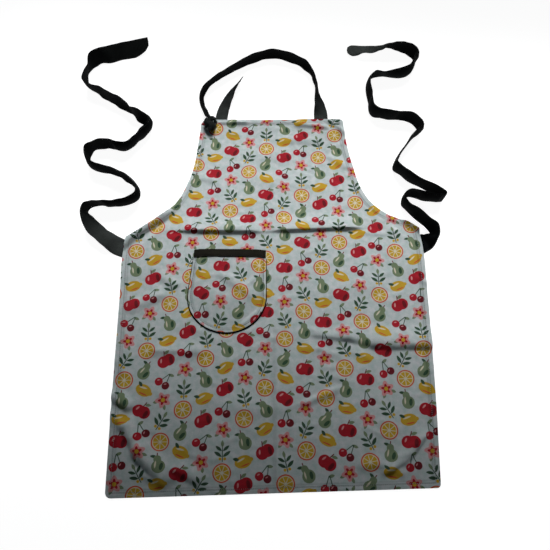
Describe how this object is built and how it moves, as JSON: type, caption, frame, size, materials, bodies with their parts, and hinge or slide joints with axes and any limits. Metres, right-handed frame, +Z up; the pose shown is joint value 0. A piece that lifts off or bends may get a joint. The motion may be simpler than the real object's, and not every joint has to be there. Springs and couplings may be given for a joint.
{
  "type": "bib apron",
  "caption": "Bib apron of printed cotton laid flat, with a round patch pocket, a dark pocket band, a knotted dark neck strap and long dark waist ties lying in waves.",
  "frame": {"origin": "on the floor under the middle of the whole apron as it lies, ties included", "axes": "+X towards the apron's left hip as worn, which is the right side of the picture; +Y from the hem towards the neck; +Z up, out of the printed front"},
  "size_m": [0.815, 1.046, 0.04],
  "materials": {
    "printed_cotton": "plain-weave cotton, pale grey-blue with a small allover print",
    "black_cotton": "matte black cotton twill",
    "band_cotton": "matte brown-black cotton twill"
  },
  "bodies": {
    "root": {"apron_body": "printed_cotton", "pocket": "printed_cotton", "pocket_band": "band_cotton", "pocket_edging": "black_cotton", "neck_strap": "black_cotton", "neck_knot": "black_cotton", "neck_strap_tail": "black_cotton", "waist_tie_left": "black_cotton", "waist_tie_right": "black_cotton"}
  },
  "joints": []
}
